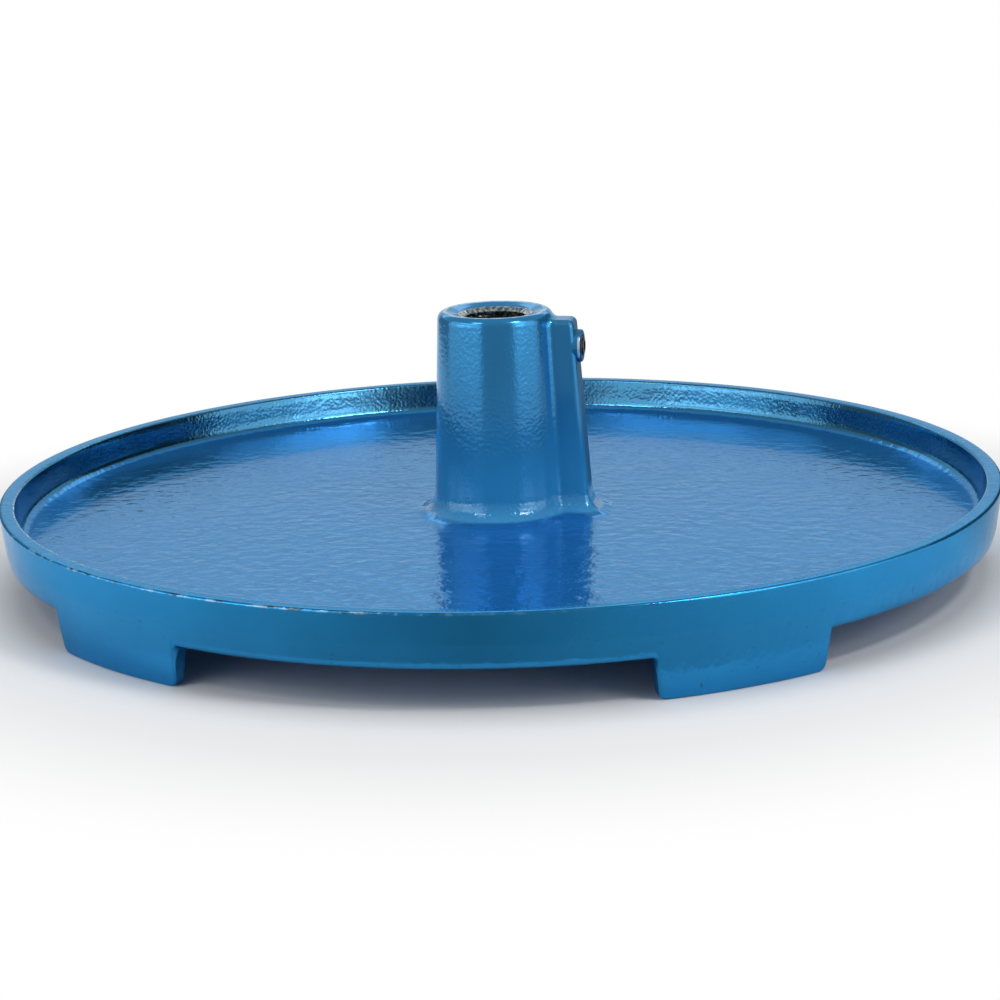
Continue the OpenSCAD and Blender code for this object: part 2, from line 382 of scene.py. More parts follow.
enamel = {
    "blue": (0.018, 0.27, 0.60),
    "deepBlue": (0.016, 0.25, 0.56),
    # painted shade: the tray's inner wall gets a darker, greyer copy of the blue
    "wallPaintedShadeBlue": (0.04, 0.185, 0.33),
    "floorBlue": (0.03, 0.26, 0.62),
    "socketBlue": (0.026, 0.235, 0.50),
    # painted shade: a darker blue for the rib's outer end and top
    "ribEdgePaintedShadeBlue": (0.03, 0.15, 0.28),
    "darkEdge": (0.03, 0.08, 0.13),
    # the pale colour of chipped paint, also used for painted highlights
    "chipAndHighlight": (0.50, 0.64, 0.76),
    "bossFaceBlack": (0.02, 0.02, 0.022),
    "metallic": 0.85,
    "wallMetallic": 1.0,
    "socketMetallic": (0.05, 0.6),        # at its foot and at its mouth
    "floorMetallic": 0.75,
    "wornAndHighlightMetallic": 0.2,
    "ribEdgeMetallic": 0.5,
    "tint": (0.5, 0.8, 1.0),  # of what the paint mirrors at a glancing angle
    "coat": 0.22,
    "outerCoat": 0.1,         # on the rim's outer wall and the feet
    "footCoat": 0.45,         # where it has run together at the socket's foot
    "coatRoughness": 0.06,
    "roughness": (0.12, 0.20),
    "bossFaceRoughness": 0.5,
    "ribEdgeRoughness": 0.45,
    "peelSize": 1.3,          # mm across one bump of the cast skin
    "swellSize": 6,
    # depths in mm of the bumps and of the wider swell
    "wallSkin": (0.08, 0.10),
    "floorSkin": (0.085, 0.50),
    "socketSkin": (0.08, 0.05),
    "smoothShare": 0.12,      # how much of this the smoother faces keep
    "strokeDepth": 0.16,      # mm, the grinder's strokes across the rim
    "rubbedShare": 0.4,       # how far the rim's outer edge is rubbed towards the chips' colour
}

# Where one finish gives way to the next, in mm from the stand's origin: each pair is start and end.
zones = {
    "outside": (193.5, 195.0),            # radius, from the tray's wall to the rim and the outer wall
    "smoothWall": (194.5, 196.5),
    "wallRight": (-60, 60),               # x, where the outer wall keeps more of its skin
    "floorTop": (23.8, 25.5),             # height, from the floor to the tray's wall
    "socketFar": (60, 50),                # radius
    "socketFoot": (23.6, 25.2),           # height
    "socketRise": (32, 90),
    "footFillet": (34, 29),
    "footCoat": (34, 30),
    "mouth": (101.0, 102.5),
    "ribNear": (23.5, 26.0),              # x
    "ribFar": (45, 40),                   # radius
    "ribFoot": (30, 36),                  # height
    "rimTop": (35.2, 35.8),
    "ground": (36.35, 36.45),
    "groundFrom": (190, 192),             # radius
    "rimEdge": 199.5,
    "rimRubbed": (199.1, 199.4),
    "innerEdge": 194.2,
    "crest": 20.1,
    "crestTop": (103.0, 103.6),           # height
    "worn": (110, 180),                   # distance from the middle towards the front left
}


# The casting's parts as masks from 0 to 1, beside the places in mm that they are worked out from.
def castingMasks(s, at):
    spread = s.add("SeparateXYZ")
    s.put(spread.inputs[0], s.place)
    x, y, z = (s.math("DIVIDE", metres, mm) for metres in spread.outputs)
    radius = s.math("SQRT", s.math("ADD", s.times(x, x), s.times(y, y)))
    onRib = s.times(s.step(x, *at["ribNear"]), s.step(radius, *at["ribFar"]), s.step(z, *at["ribFoot"]))
    ribEnd = s.step(s.away(y, 0), 5.5, 4.0)
    ribCap = s.step(z, ribTop - 2.2, ribTop - 1.2)
    towards = s.math("ADD", s.times(x, -0.6), s.times(y, -0.8))
    return {
        "x": x, "y": y, "z": z, "radius": radius,
        "rib": onRib,
        "ribEdge": s.times(s.most(ribEnd, ribCap), onRib, s.step(z, 101, 100.5)),
        "floor": s.step(z, *at["floorTop"], 1, 0),
        "socket": s.times(s.step(radius, *at["socketFar"]), s.step(z, *at["socketFoot"])),
        "rimTop": s.step(z, *at["rimTop"]),
        "boss": s.times(s.step(x, bossEnd - 0.45, bossEnd - 0.35), s.step(z, 80, 81)),
        "frontLeft": s.step(towards, *at["worn"], 0.12, 1),
    }


# The cast skin shows on the socket and inside the tray, less on the outer wall, the rib
# and the socket's top.
def enamelSkin(s, e, at, on):
    toRight = s.step(on["x"], *at["wallRight"], 1, 0.45)
    outerWall = s.times(s.step(on["radius"], *at["smoothWall"]), toRight)
    smooth = s.most(outerWall, on["rib"], s.step(on["z"], *at["mouth"]))
    share = s.step(smooth, 0, 1, 1, e["smoothShare"])
    rougher = s.step(on["z"], *at["footFillet"], 1, 3)      # in the fillet at the socket's foot
    depths = []
    for wall, floor, socket in zip(e["wallSkin"], e["floorSkin"], e["socketSkin"]):
        depth = s.step(on["floor"], 0, 1, wall, floor)
        depth = s.step(on["socket"], 0, 1, depth, s.times(rougher, socket))
        depths.append(s.times(share, depth))
    normal = s.bump(s.noise(e["swellSize"], detail=1.0), depths[1])
    normal = s.bump(s.noise(e["peelSize"], detail=0.5), depths[0], normal)
    # strokes of the grinder across the rim's flat top
    strokes = s.add("CombineXYZ")
    s.put(strokes.inputs[0], s.times(s.math("ARCTAN2", on["y"], on["x"]), 0.2))
    s.put(strokes.inputs[1], s.times(on["radius"], 0.12 * mm))
    ground = s.noise(1.3, detail=3, vector=strokes.outputs[0])
    depth = s.step(on["z"], *at["ground"], 0, e["strokeDepth"])
    return s.bump(ground, s.times(depth, s.step(on["radius"], *at["groundFrom"])), normal)


# Dark edges where the paint is thin, mostly on the front of the rim, to the left.
def thinPaint(s, at, on, ragged):
    edge = s.away(s.math("ADD", on["radius"], ragged), at["rimEdge"])
    patches = s.step(s.noise(14, detail=4), 0.52, 0.60)
    return s.times(s.step(edge, 0.1, 0.4, 1, 0), on["rimTop"], patches, on["frontLeft"])


# Paint chipped off or rubbed through on the rim's edges, and painted highlights in the same pale colour: a
# ring round the socket's mouth and a line down the boss's near edge.
def wornPaintAndPaintedHighlights(s, e, at, on, ragged):
    inner = s.away(s.math("SUBTRACT", on["radius"], ragged), at["innerEdge"])
    patches = s.step(s.noise(2.6, detail=4, rough=0.7), 0.46, 0.56)
    chips = s.times(s.step(inner, 0.1, 0.5, 1, 0), on["rimTop"], patches, on["frontLeft"])
    # painted highlight: a pale ring along the crest of the socket's mouth
    crest = s.step(s.away(on["radius"], at["crest"]), 0.4, 1.0, 1, 0)
    patches = s.step(s.noise(3, detail=3), 0.35, 0.65, 0.3, 0.85)
    crest = s.times(crest, s.step(on["z"], *at["crestTop"]), patches)
    patches = s.step(s.noise(5, detail=4, rough=0.7), 0.50, 0.62)
    rubbed = s.times(s.step(on["radius"], *at["rimRubbed"]), on["rimTop"])
    rubbed = s.times(rubbed, patches, on["frontLeft"], e["rubbedShare"])
    # painted highlight: a pale line down the boss's rounded near edge
    bossRound = s.step(on["x"], bossEnd - 1.5, bossEnd - 1.2)
    bossRound = s.times(bossRound, s.step(on["x"], bossEnd - 0.4, bossEnd - 0.5))
    bossEdgeHighlight = s.times(bossRound, s.step(on["z"], 85.5, 86.5), s.step(on["y"], -4.5, -5.2))
    return s.most(chips, crest, rubbed, bossEdgeHighlight)


def makeEnamel(e, at):
    s = newShader("castBlueEnamel")
    on = castingMasks(s, at)
    normal = enamelSkin(s, e, at, on)
    ragged = s.times(s.math("SUBTRACT", s.noise(3.2, detail=4), 0.5), 1.4)
    # worn holds the chipped and rubbed paint and the painted highlights on the socket's crest and the boss's
    # edge
    worn = wornPaintAndPaintedHighlights(s, e, at, on, ragged)
    # colour, from the cloudy coat to what shows through it, with painted shade and painted highlights mixed
    # in
    tone = s.mix(s.step(s.noise(38, detail=3), 0.35, 0.65), e["deepBlue"], e["blue"])
    # Inside the tray the wall, the socket and the floor get their own copies of the blue; the wall's darker,
    # greyer copy is painted shade.
    inTray = s.mix(on["socket"], e["wallPaintedShadeBlue"], e["socketBlue"])
    inTray = s.mix(on["floor"], inTray, e["floorBlue"])
    tone = s.mix(s.step(on["radius"], *at["outside"]), inTray, tone)
    # dark specks scattered over the tray's floor
    darkSpecks = s.times(s.step(s.noise(1.6, detail=1), 0.70, 0.75, 0, 0.6), on["floor"])
    tone = s.mix(darkSpecks, tone, e["darkEdge"])
    tone = s.mix(thinPaint(s, at, on, ragged), tone, e["darkEdge"])
    # pale chips, and the painted highlights on the crest and the boss's edge
    tone = s.mix(worn, tone, e["chipAndHighlight"])
    # the boss's flat end face is coloured near black
    tone = s.mix(on["boss"], tone, e["bossFaceBlack"])
    # painted shade: the rib's outer end and top are coloured darker
    tone = s.mix(on["ribEdge"], tone, e["ribEdgePaintedShadeBlue"])
    # how much it mirrors like metal
    metallic = s.step(on["radius"], *at["outside"], e["wallMetallic"], e["metallic"])
    metallic = s.step(on["floor"], 0, 1, metallic, e["floorMetallic"])
    metallic = s.step(on["socket"], 0, 1, metallic, s.step(on["z"], *at["socketRise"], *e["socketMetallic"]))
    metallic = s.step(s.most(worn, on["boss"]), 0, 1, metallic, e["wornAndHighlightMetallic"])
    metallic = s.step(on["ribEdge"], 0, 1, metallic, e["ribEdgeMetallic"])
    # duller on the boss's flat end face, and on the rib's end and top
    roughness = s.step(s.noise(14, detail=3), 0.3, 0.7, *e["roughness"])
    roughness = s.step(on["boss"], 0, 1, roughness, e["bossFaceRoughness"])
    roughness = s.step(on["ribEdge"], 0, 1, roughness, e["ribEdgeRoughness"])
    # the coat has run together at the foot of the socket
    coat = s.step(on["radius"], *at["outside"], e["coat"], e["outerCoat"])
    coat = s.step(s.times(on["socket"], s.step(on["z"], *at["footCoat"])), 0, 1, coat, e["footCoat"])
    coat = s.step(s.most(on["boss"], on["ribEdge"]), 0, 1, coat, 0.0)
    return s.finish(Base_Color=tone, Metallic=metallic, Roughness=roughness, Normal=normal,
                    Specular_Tint=e["tint"], Coat_Weight=coat, Coat_Roughness=e["coatRoughness"])


bush = {
    "dark": (0.12, 0.24, 0.30),           # painted reflection: a dark teal for the blue paint and the dim bore that the bare metal mirrors
    "bright": (0.74, 0.73, 0.69),
    "patchSize": 1.6,         # mm, as are the depths
    "roughness": (0.1, 0.24),
    "ringDepth": 0.04,        # of the turning marks
    "chatterDepth": 0.22,
}


def makeSteel(b):
    s = newShader("boredSteel")
    rings = s.noise(0.5, detail=1, stretch=(0.06, 0.06, 1))
    chatter = s.noise(1.5, detail=2)
    patches = s.step(s.noise(b["patchSize"], detail=3), 0.42, 0.62)
    # patches of the steel's own grey over the painted reflection of the blue
    return s.finish(Base_Color=s.mix(patches, b["dark"], b["bright"]), Metallic=1.0,
                    Roughness=s.step(chatter, 0.3, 0.7, *b["roughness"]),
                    Normal=s.bump(chatter, b["chatterDepth"], s.bump(rings, b["ringDepth"])))


screw = {
    "dark": (0.012, 0.011, 0.012),
    "smeared": (0.05, 0.046, 0.044),
    "smearSize": 1.8,
    "metallic": 0.6,
    "roughness": (0.25, 0.42),
    "grainDepth": 0.01,
}


def makeBlackSteel(b):
    s = newShader("blackOxide")
    smear = s.noise(b["smearSize"], detail=4)
    return s.finish(Base_Color=s.mix(smear, b["dark"], b["smeared"]), Metallic=b["metallic"],
                    Roughness=s.step(smear, 0.3, 0.7, *b["roughness"]),
                    Normal=s.bump(s.noise(0.3, detail=2), b["grainDepth"]))


pad = {
    "dull": (0.60, 0.40, 0.13),
    "bright": (0.78, 0.58, 0.26),
    "patchSize": 2.5,
    "roughness": 0.32,
    "ringDepth": 0.015,
}


def makeBrass(b):
    s = newShader("turnedBrass")
    rings = s.noise(0.3, detail=2, stretch=(1, 0.05, 0.05))
    tone = s.mix(s.noise(b["patchSize"], detail=3), b["dull"], b["bright"])
    return s.finish(Base_Color=tone, Metallic=1.0, Roughness=b["roughness"],
                    Normal=s.bump(rings, b["ringDepth"]))


paint = makeEnamel(enamel, zones)
steel = makeSteel(bush)
blackSteel = makeBlackSteel(screw)
brass = makeBrass(pad)
print("finishes mixed")


# Points of one row, in mm: radius, angle in degrees and height, each a number or one per column.
def turned(radius, angle, height):
    a = np.radians(angle)
    return np.stack(np.broadcast_arrays(radius * np.cos(a), radius * np.sin(a), height), axis=-1)


# Quads between neighbouring rows of a grid, with its last column joined to its first if closed.
def rowFaces(rows, columns, closed):
    faces = []
    last = columns if closed else columns - 1
    for j in range(rows - 1):
        for k in range(last):
            n = (k + 1) % columns
            faces.append((j * columns + k, j * columns + n, (j + 1) * columns + n, (j + 1) * columns + k))
    return faces


def makeObject(name, points, faces, material):
    mesh = bpy.data.meshes.new(name)
    mesh.from_pydata([tuple(p) for p in np.asarray(points) * mm], [], faces)
    mesh.materials.append(material)
    mesh.polygons.foreach_set("use_smooth", [True] * len(mesh.polygons))
    piece = bpy.data.objects.new(name, mesh)
    bpy.context.scene.collection.objects.link(piece)
    return piece


# Points [r, z] on an arc of a profile, without its first point.
def arc(center, radius, start, end, steps):
    angles = np.radians(np.linspace(start, end, steps + 1))[1:]
    return [(center[0] + radius * math.cos(a), center[1] + radius * math.sin(a)) for a in angles]


# Points [r, z] on a straight stretch of a profile, without its first point.
def between(start, end, steps):
    return [tuple(p) for p in np.linspace(start, end, steps + 1)[1:]]


# A share from 0 to 1, slowed at both ends.
def eased(share):
    return share * share * (3 - 2 * share)


webKnots = np.array(c["webKnots"]) * (c["webWidth"] / 2)
webEdge = webKnots[-1]


# Half of one foot seen from outside: distances from its middle, with the height of its lower edge.
def footOutline():
    half, lean = c["footWidth"] / 2, c["footDraft"]
    sole = list(webKnots) + list(np.linspace(webEdge, half - c["footRound"], 10)[1:])
    corner = arc((half - c["footRound"], c["footRound"]), c["footRound"], -90, -lean, 7)
    rootX = half + floorUnder * math.tan(math.radians(lean))
    root = arc((rootX + c["footRoot"], floorUnder - c["footRoot"]), c["footRoot"], 180 - lean, 90, 5)
    sideTop = (root[0][0] - 0.02, root[0][1] - c["footRoot"] * 0.3)      # just short of the root
    side = between(corner[-1], sideTop, 3)
    across, low = zip(*[(a, 0.0) for a in sole] + corner + side + root)
    return np.array(across), np.array(low)


# The lower edge of the web that runs from the pad to each foot.
def webHeight(across):
    return floorUnder - c["webDrop"] * np.interp(np.abs(across), webKnots, c["webShares"])


# Columns of one sector, from the middle of one gap across a foot to the middle of the next gap.
halfAcross, halfLow = footOutline()
sectorAngle = 360 / c["feet"]
gapColumns = c["columnsInSector"] // 2 - (len(halfAcross) - 1)
endAngle = math.degrees(math.asin(halfAcross[-1] / footMiddle))
gapAngles = np.linspace(endAngle, sectorAngle / 2, gapColumns + 1)[1:]
allAcross = np.concatenate([-halfAcross[:0:-1], halfAcross])
underGap = np.full(gapColumns, floorUnder)
lowEdge = np.concatenate([underGap, halfLow[:0:-1], halfLow, underGap])
inGap = np.full(gapColumns, 99.0)         # any distance past the web's edge
acrossSector = np.concatenate([inGap, allAcross, inGap])
webInSector = webHeight(acrossSector)
nearWeb = np.abs(acrossSector) <= webEdge + 1e-6
fanFrom = footInside - 4                  # radii between which the columns on the floor spread out evenly
fanTo = c["seam"] + 5
parallelFrom = footInside - 6             # outside this radius a foot's columns run parallel
print("columns in a sector", len(lowEdge), "of which in each gap", gapColumns)


# Angles of a sector's columns at a radius, with the web's columns parallel if straight.
def sectorAngles(radius, straight):
    atFoot = np.degrees(np.arcsin(allAcross / max(radius, parallelFrom)))
    angles = np.concatenate([-gapAngles[::-1], atFoot, gapAngles])
    if straight:
        webAngle = math.degrees(math.asin(webEdge / radius))
        webFar = math.degrees(math.asin(webEdge / max(radius, parallelFrom)))
        inWeb = np.degrees(np.arcsin(np.clip(acrossSector / radius, -1, 1)))
        spread = (sectorAngle / 2 - webAngle) / (sectorAngle / 2 - webFar)
        outside = np.sign(angles) * (webAngle + (np.abs(angles) - webFar) * spread)
        return np.where(nearWeb, inWeb, outside)
    even = np.linspace(-sectorAngle / 2, sectorAngle / 2, len(angles))
    blend = eased(np.clip((fanFrom - radius) / (fanFrom - fanTo), 0, 1))
    return angles + (even - angles) * blend


# Rows of one sector, from the seam under the floor, round a foot and the rim, to the seam on the floor.
def footRows():
    rows = []

    def add(radius, height, straight=False):
        rows.append(turned(radius, sectorAngles(float(np.max(radius)), straight), height))

    # under the floor, as far as the feet
    for radius in np.linspace(c["seam"], footInside - c["footFillet"] - 5, 7):
        add(radius, webInSector, True)
    # down a foot's inner face and across its sole, or flat across a gap, where share is 0
    drop = floorUnder - lowEdge
    fillet = np.minimum(c["footFillet"], 0.55 * drop)
    edge = np.minimum(c["soleRound"], 0.2 * drop)
    share = eased(np.clip(drop / 5, 0, 1))
    outerEdge = c["wallRound"] + (c["soleRound"] - c["wallRound"]) * share
    soleOuter = wallRadius(lowEdge) - outerEdge
    inner = []
    for a in np.linspace(90, 0, 5):
        t = math.radians(a)
        inner.append((footInside - fillet + fillet * math.cos(t), floorUnder - fillet + fillet * math.sin(t)))
    filletRows = len(inner)
    for part in (0.35, 0.7, 1.0):
        height = floorUnder - fillet + (lowEdge + edge - floorUnder + fillet) * part
        inner.append((np.full(len(drop), footInside), height))
    for a in (225, 270):
        t = math.radians(a)
        inner.append((footInside + edge + edge * math.cos(t), lowEdge + edge + edge * math.sin(t)))
    for part in (0.33, 0.67, 1.0):
        inner.append((footInside + edge + (soleOuter - footInside - edge) * part, lowEdge))
    start = footInside - c["footFillet"] - 2.5
    for i, (radius, height) in enumerate(inner):
        plain = start + (soleOuter - start) * i / (len(inner) - 1)
        radius = plain + (radius - plain) * share
        if i < filletRows:
            height = np.minimum(height, webInSector)
        rows.append(turned(radius, sectorAngles(footMiddle, False), height))
    # round the outer wall's lower edge and up the wall
    lean = -c["wallDraft"]
    leanCos, leanSin = math.cos(math.radians(lean)), math.sin(math.radians(lean))
    for a in np.linspace(270, 360 + lean, 4)[1:]:
        t = math.radians(a)
        add(soleOuter + outerEdge * math.cos(t), lowEdge + outerEdge + outerEdge * math.sin(t))
    low = lowEdge + outerEdge * (1 + leanSin)
    high = c["rimTop"] - c["rimRound"] * (1 - leanSin)
    for part in np.linspace(0, 1, 9)[1:]:
        height = low + (high - low) * part
        add(wallRadius(height), height)
    # over the rim, down the tray's wall and along the floor
    rimCenter = (c["trayRadius"] - c["rimRound"] * 1.06, c["rimTop"] - c["rimRound"])
    innerCenter = (c["trayRadius"] - c["rimWidth"] + c["rimRound"] * 0.9, rimCenter[1])
    cornerZ = floorTop + c["rimFillet"]
    cornerR = innerWallRadius(cornerZ) - c["rimFillet"] / leanCos
    cornerTop = (cornerR + c["rimFillet"] * leanCos, cornerZ + c["rimFillet"] * leanSin)
    rest = arc(rimCenter, c["rimRound"], lean, 90, 4)
    rest += between(rest[-1], (innerCenter[0], c["rimTop"]), 4)
    rest += arc(innerCenter, c["rimRound"], 90, 180 + lean, 4)
    rest += between(rest[-1], cornerTop, 4)
    rest += arc((cornerR, cornerZ), c["rimFillet"], lean, -90, 7)
    rest += between(rest[-1], (c["seam"], floorTop), 12)
    for radius, height in rest:
        add(radius, height)
    return rows


# Distance to a block with rounded edges, from the distances to its faces.
def roundedBlock(faces, radius):
    past = np.array(faces) + radius
    return np.sqrt((np.maximum(past, 0) ** 2).sum(axis=0)) + np.minimum(past.max(axis=0), 0) - radius


# Distance to two shapes joined by a fillet.
def roundUnion(a, b, radius):
    u, v = np.maximum(radius - a, 0), np.maximum(radius - b, 0)
    return np.maximum(radius, np.minimum(a, b)) - np.hypot(u, v)


# Distance from the socket and its rib, both solid.
def socketDistance(x, y, z):
    side = np.hypot(x, y) - socketRadius(z)
    column = roundedBlock((side, z - c["socketTop"]), c["socketRound"])
    half = c["ribWidth"] / 2 + (ribTop - z) * math.tan(math.radians(c["ribDraft"]))
    end = np.maximum(x - socketRadius(z) - ribOut(z), -x)
    rib = roundedBlock((end, np.abs(y) - half, z - ribTop), c["ribRound"])
    return roundUnion(column, rib, c["ribFillet"])


# Where rays from the socket's axis leave it, when it is grown all round by a fillet's width.
def socketRow(angles, height, rise, grow):
    a, e = np.radians(angles), math.radians(rise)
    near, far = np.full(len(angles), 12.0), np.full(len(angles), 70.0)      # inside the solid and outside it
    for halving in range(40):                 # to far less than a thousandth of a mm
        middle = (near + far) / 2
        flat = middle * math.cos(e)
        inside = socketDistance(flat * np.cos(a), flat * np.sin(a), height + middle * math.sin(e)) < grow
        near, far = np.where(inside, middle, near), np.where(inside, far, middle)
    flat = near * math.cos(e)
    return np.stack([flat * np.cos(a), flat * np.sin(a), height + near * math.sin(e)], axis=-1)


# Directions drawn together round the rib, where the shape needs more columns.
def crowdedAtRib(even):
    fine = np.linspace(-180, 180, 2881)
    density = 1 + c["ribCrowding"] * np.exp(-(fine / c["ribCrowdAngle"]) ** 2)
    share = np.concatenate([[0], np.cumsum((density[1:] + density[:-1]) / 2)])
    share = share / share[-1] * 360 - 180
    wrapped = (even + 180) % 360 - 180
    return np.interp(wrapped, share, fine) + (even - wrapped)


# Points [r, z] down the bore, across the pad under the socket and up its side to the floor's underside,
# with the number of points before the pad's edge.
def boreAndPad(crest):
    seat, through, lead = c["seatRadius"], c["throughRadius"], c["throughEdge"]
    padEdge = c["padRadius"] - c["padRound"]
    profile = between((crest, c["socketTop"]), (seat + 0.5, lipTop + 0.15), 4)
    profile += [(seat + 0.15, lipTop - 0.05), (seat, lipTop - 0.4)]
    profile += between(profile[-1], (seat, seatBottom), 5)
    profile += between(profile[-1], (through, seatBottom), 2)
    profile += between(profile[-1], (through, padBottom + lead), 4)
    profile += [(through + lead, padBottom)]
    profile += between(profile[-1], (padEdge, padBottom), 4)
    flatPoints = len(profile)
    slope = math.degrees(math.atan2(c["padSlope"], c["padDrop"]))
    profile += arc((padEdge, padBottom + c["padRound"]), c["padRound"], -90, -slope, 3)
    foot = floorUnder - c["footFillet"]
    sideR = c["padRadius"] + c["padSlope"] * (foot - padBottom) / c["padDrop"]
    center = (sideR + c["footFillet"] / math.cos(math.radians(slope)), foot)
    profile += arc(center, c["footFillet"], 180 - slope, 90, 5)
    return profile, flatPoints


# Rows of the middle: the floor, the socket, its bore, and back out under the floor.
def hubRows():
    count = c["feet"] * c["columnsInSector"]
    even = 90 - sectorAngle / 2 + np.arange(count) * 360 / count
    atRib = crowdedAtRib(even)
    rows = []
    # in along the floor
    rootEnd = c["socketBaseRadius"] + c["ribBaseOut"] + c["socketFillet"] + 1.5
    for radius in np.linspace(c["seam"], rootEnd, 11):
        blend = eased(np.clip((c["seam"] - radius) / (c["seam"] - rootEnd), 0, 1))
        rows.append(turned(radius, even + (atRib - even) * blend, floorTop))
    # round the fillet, up the socket, and over its top with rays that rise from aim
    fillet = c["socketFillet"]
    for a in np.linspace(90, 0, 12)[:-1]:
        t = math.radians(a)
        rows.append(socketRow(atRib, floorTop + fillet * (1 - math.sin(t)), 0, fillet * (1 - math.cos(t))))
    aim = 80.0
    for height in np.linspace(floorTop + fillet, aim, 26):
        rows.append(socketRow(atRib, height, 0, 0))
    crest = c["socketTopRadius"] - c["socketRound"]
    last = math.degrees(math.atan2(c["socketTop"] - aim, crest))
    for start, end, steps in ((0, 27, 40), (27, 42, 24), (42, last, 8)):
        for rise in np.linspace(start, end, steps + 1)[1:]:
            rows.append(socketRow(atRib, aim, rise, 0))
    # down the bore, while the columns turn from the rib's to the webs', and out under the floor
    profile, flatPoints = boreAndPad(crest)
    web = np.tile(webInSector[:-1], c["feet"])
    for i, (radius, height) in enumerate(profile):
        amount = min(1.0, i / (flatPoints - 1))
        angles = atRib + (underAngles(max(radius, c["padRadius"])) - atRib) * amount
        rows.append(turned(radius, angles, np.minimum(height, web) if i >= flatPoints else height))
    for radius in np.linspace(profile[-1][0], c["seam"], 9)[1:]:
        rows.append(turned(radius, underAngles(radius), web))
    return rows


def underAngles(radius):
    sector = sectorAngles(radius, True)[:-1]
    return np.concatenate([90 + sectorAngle * i + sector for i in range(c["feet"])])


# Turns one sector into the whole ring of feet and closes the seams between the sectors.
def ringTree():
    tree = bpy.data.node_groups.new("ringOfFeet", "GeometryNodeTree")
    face = tree.interface
    face.new_socket("Geometry", in_out="INPUT", socket_type="NodeSocketGeometry")
    face.new_socket("Feet", in_out="INPUT", socket_type="NodeSocketInt")
    face.new_socket("Seam", in_out="INPUT", socket_type="NodeSocketFloat")
    face.new_socket("Finish", in_out="INPUT", socket_type="NodeSocketMaterial")
    face.new_socket("Geometry", in_out="OUTPUT", socket_type="NodeSocketGeometry")
    nodes, links = tree.nodes, tree.links
    given = nodes.new("NodeGroupInput")
    points = nodes.new("GeometryNodeMeshLine")
    points.mode = "OFFSET"
    points.inputs["Offset"].default_value = (0, 0, 0)
    links.new(given.outputs["Feet"], points.inputs["Count"])
    index = nodes.new("GeometryNodeInputIndex")
    share = nodes.new("ShaderNodeMath")
    share.operation = "DIVIDE"
    links.new(index.outputs[0], share.inputs[0])
    links.new(given.outputs["Feet"], share.inputs[1])
    angle = nodes.new("ShaderNodeMath")
    angle.operation = "MULTIPLY"
    angle.inputs[1].default_value = 2 * math.pi
    links.new(share.outputs[0], angle.inputs[0])
    turn = nodes.new("ShaderNodeCombineXYZ")
    links.new(angle.outputs[0], turn.inputs["Z"])
    copies = nodes.new("GeometryNodeInstanceOnPoints")
    links.new(points.outputs["Mesh"], copies.inputs["Points"])
    links.new(given.outputs["Geometry"], copies.inputs["Instance"])
    links.new(turn.outputs[0], copies.inputs["Rotation"])
    real = nodes.new("GeometryNodeRealizeInstances")
    links.new(copies.outputs[0], real.inputs[0])
    merge = nodes.new("GeometryNodeMergeByDistance")
    links.new(real.outputs[0], merge.inputs["Geometry"])
    links.new(given.outputs["Seam"], merge.inputs["Distance"])
    finish = nodes.new("GeometryNodeSetMaterial")
    links.new(merge.outputs[0], finish.inputs["Geometry"])
    links.new(given.outputs["Finish"], finish.inputs["Material"])
    out = nodes.new("NodeGroupOutput")
    links.new(finish.outputs[0], out.inputs["Geometry"])
    return tree


# Keeps what a piece's modifiers make of it as its plain mesh.
def keepResult(piece):
    graph = bpy.context.evaluated_depsgraph_get()
    result = bpy.data.meshes.new_from_object(piece.evaluated_get(graph))
    piece.modifiers.clear()
    piece.data = result


def applyTree(piece, tree, values):
    modifier = piece.modifiers.new(tree.name, "NODES")
    modifier.node_group = tree
    for item in tree.interface.items_tree:
        if item.in_out == "INPUT" and item.name in values:
            modifier[item.identifier] = values[item.name]
    keepResult(piece)


# A closed solid turned about a line along X, from points [x, radius] that start and end on the line.
def turnedAboutX(name, profile, height, steps=64):
    angles = np.radians(np.arange(steps) * 360 / steps)
    points = [(profile[0][0], 0, height)]
    for x, r in profile[1:-1]:
        points += [(x, r * math.sin(a), height + r * math.cos(a)) for a in angles]
    points.append((profile[-1][0], 0, height))
    rows = len(profile) - 2
    faces = [(0, 1 + (k + 1) % steps, 1 + k) for k in range(steps)]
    faces += [tuple(1 + i for i in f) for f in rowFaces(rows, steps, True)]
    end = len(points) - 1
    faces += [(end, end - steps + k, end - steps + (k + 1) % steps) for k in range(steps)]
    piece = makeObject(name, points, faces, paint)
    shape = bmesh.new()
    shape.from_mesh(piece.data)
    bmesh.ops.recalc_face_normals(shape, faces=shape.faces)
    shape.to_mesh(piece.data)
    shape.free()
    return piece


# Joins another solid to a piece or cuts it away, and removes that solid.
def cutOrJoin(piece, tool, operation):
    modifier = piece.modifiers.new(operation.lower(), "BOOLEAN")
    modifier.operation = operation
    modifier.solver = "EXACT"
    modifier.object = tool
    keepResult(piece)
    bpy.data.objects.remove(tool)


# Smooth shading, with a crease along every edge that bends by more than an angle.
def sharpen(piece, angle):
    shape = bmesh.new()
    shape.from_mesh(piece.data)
    bmesh.ops.remove_doubles(shape, verts=shape.verts, dist=c["joinWithin"] * mm)
    bmesh.ops.recalc_face_normals(shape, faces=shape.faces)
    for face in shape.faces:
        face.smooth = True
    for edge in shape.edges:
        edge.smooth = len(edge.link_faces) == 2 and edge.calc_face_angle() < math.radians(angle)
    loose = sum(1 for e in shape.edges if not e.is_manifold)
    shape.to_mesh(piece.data)
    shape.free()
    print(piece.name, len(piece.data.polygons), "faces,", loose, "open edges")


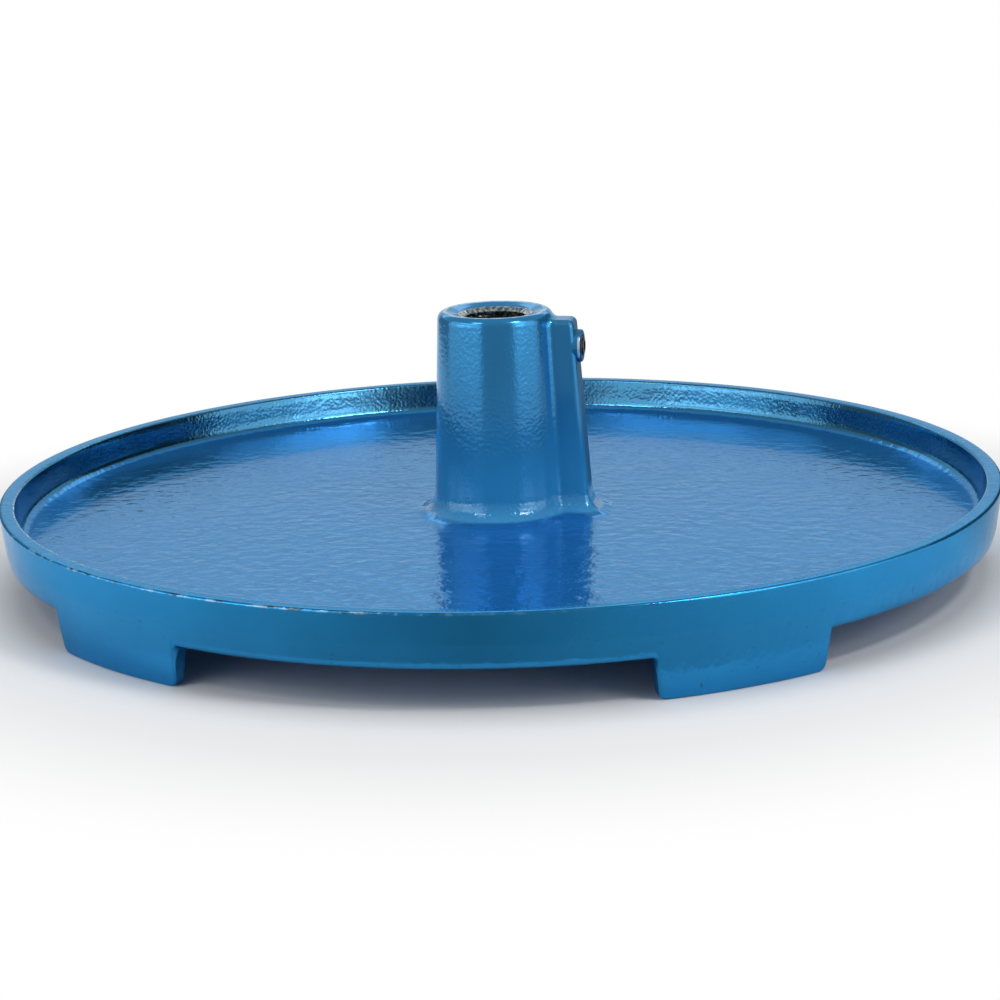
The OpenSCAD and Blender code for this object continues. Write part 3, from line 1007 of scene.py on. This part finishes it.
def addBoss(piece):
    r, soft, tap = c["bossRadius"], c["bossRound"], c["tapRadius"]
    inWall, inBore = 19, 12   # where the boss and the hole start, in the socket's wall and in its bore
    past = 0.6                # how far the hole's tool stands out of the boss
    profile = [(inWall, 0), (inWall, r), (bossEnd - soft, r)]
    profile += arc((bossEnd - soft, r - soft), soft, 90, 0, 4)
    profile += [(bossEnd, tap + c["tapEdge"]), (bossEnd, 0)]
    cutOrJoin(piece, turnedAboutX("boss", profile, screwHeight), "UNION")
    hole = [(inBore, 0), (inBore, tap), (bossEnd - 0.5, tap)]
    hole += [(bossEnd + past, tap + 0.5 + past), (bossEnd + past, 0)]
    cutOrJoin(piece, turnedAboutX("hole", hole, screwHeight), "DIFFERENCE")


def makeCasting():
    sector = footRows()
    sectorFaces = rowFaces(len(sector), len(sector[0]), False)
    ring = makeObject("casting_ring", np.concatenate(sector), sectorFaces, paint)
    applyTree(ring, ringTree(), {"Feet": c["feet"], "Seam": c["joinWithin"] * mm, "Finish": paint})
    hub = hubRows()
    hubFaces = rowFaces(len(hub), len(hub[0]), True)
    middle = makeObject("cast_tray_and_socket", np.concatenate(hub), hubFaces, paint)
    shape = bmesh.new()
    shape.from_mesh(middle.data)
    ringMesh = ring.data.copy()
    ringMesh.transform(Matrix.Rotation(math.radians(90), 4, "Z"))
    shape.from_mesh(ringMesh)
    bmesh.ops.remove_doubles(shape, verts=shape.verts, dist=c["seamWithin"] * mm)
    bmesh.ops.recalc_face_normals(shape, faces=shape.faces)
    openEdges = [e for e in shape.edges if not e.is_manifold]
    print("casting:", len(shape.verts), "points,", len(shape.faces), "faces,", len(openEdges), "open edges")
    shape.to_mesh(middle.data)
    shape.free()
    bpy.data.objects.remove(ring)
    addBoss(middle)
    sharpen(middle, c["crease"])
    return middle


cast = makeCasting()
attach(cast, "stand")
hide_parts("base_casting")
print("casting built")

for node, material in (("socket_bush", steel), ("clamp_screw", blackSteel), ("thrust_pad", brass)):
    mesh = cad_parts[node].data
    mesh.materials.clear()
    mesh.materials.append(material)
